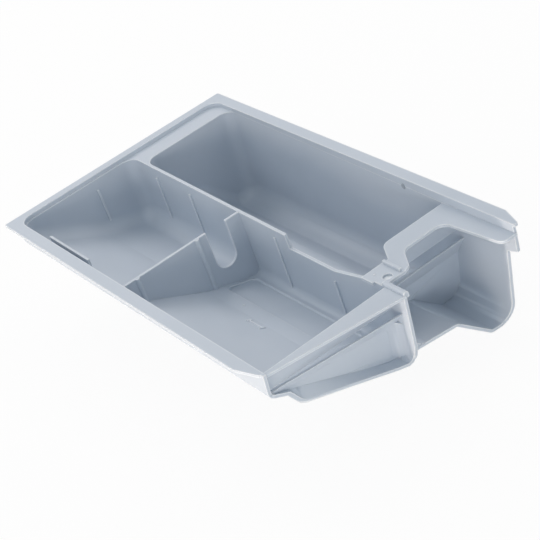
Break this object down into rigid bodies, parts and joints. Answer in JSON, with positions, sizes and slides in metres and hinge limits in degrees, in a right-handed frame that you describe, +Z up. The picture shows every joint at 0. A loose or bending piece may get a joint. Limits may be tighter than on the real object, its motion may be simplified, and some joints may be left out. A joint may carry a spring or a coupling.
{
  "type": "detergent dispenser drawer tray",
  "caption": "Open moulded dispenser drawer tray: a deep compartment with a trough, a shallow side split by a notched partition, and slotted weirs under flanges at the open outlet end.",
  "frame": {"origin": "centre of the outer box at the level of the trough's underside, with the rim level", "axes": "+X from the closed end to the open outlet end, +Y from the shallow side to the deep main compartment, +Z up"},
  "size_m": [0.3084, 0.175, 0.0714],
  "materials": {
    "tray": "satin, cool light grey"
  },
  "bodies": {
    "root": {"drawer_tray": "tray"}
  },
  "joints": []
}
